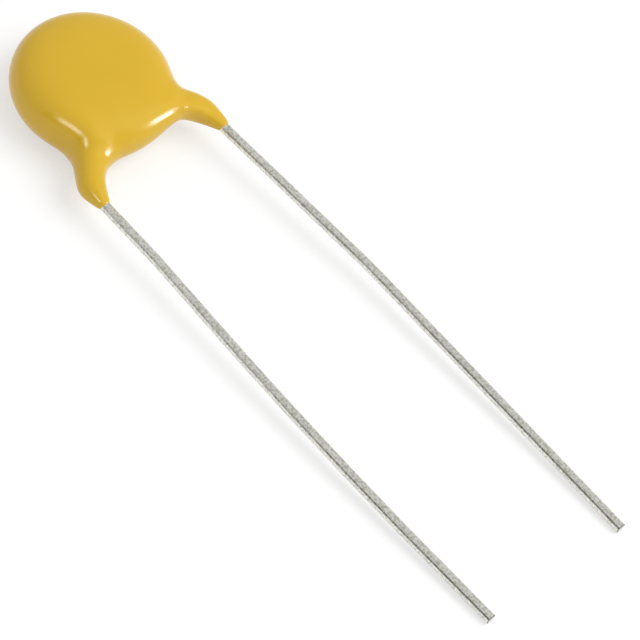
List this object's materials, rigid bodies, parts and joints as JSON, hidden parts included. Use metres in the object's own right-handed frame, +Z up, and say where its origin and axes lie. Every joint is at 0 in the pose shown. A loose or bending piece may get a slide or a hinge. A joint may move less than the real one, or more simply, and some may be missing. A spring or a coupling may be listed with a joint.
{
  "type": "ceramic disc capacitor",
  "caption": "Round, flat dipped ceramic disc capacitor: glossy epoxy body running down onto two long straight tinned wire leads.",
  "frame": {"origin": "on the ground, under the middle of the part's length and midway between its two wires", "axes": "+Z up, out through the front face; +Y along the part from the cut ends of the wires to the disc; +X from the left wire to the right one"},
  "size_m": [0.0116, 0.0458, 0.0042],
  "materials": {
    "epoxy_coating": "gloss",
    "ceramic_disc": "matte",
    "electrode": "satin",
    "tinned_wire": "satin",
    "solder": "satin"
  },
  "bodies": {
    "root": {"epoxy_coating": "epoxy_coating", "ceramic_disc": "ceramic_disc", "front_electrode": "electrode", "rear_electrode": "electrode", "left_lead": "tinned_wire", "right_lead": "tinned_wire", "front_solder": "solder", "rear_solder": "solder"}
  },
  "joints": []
}
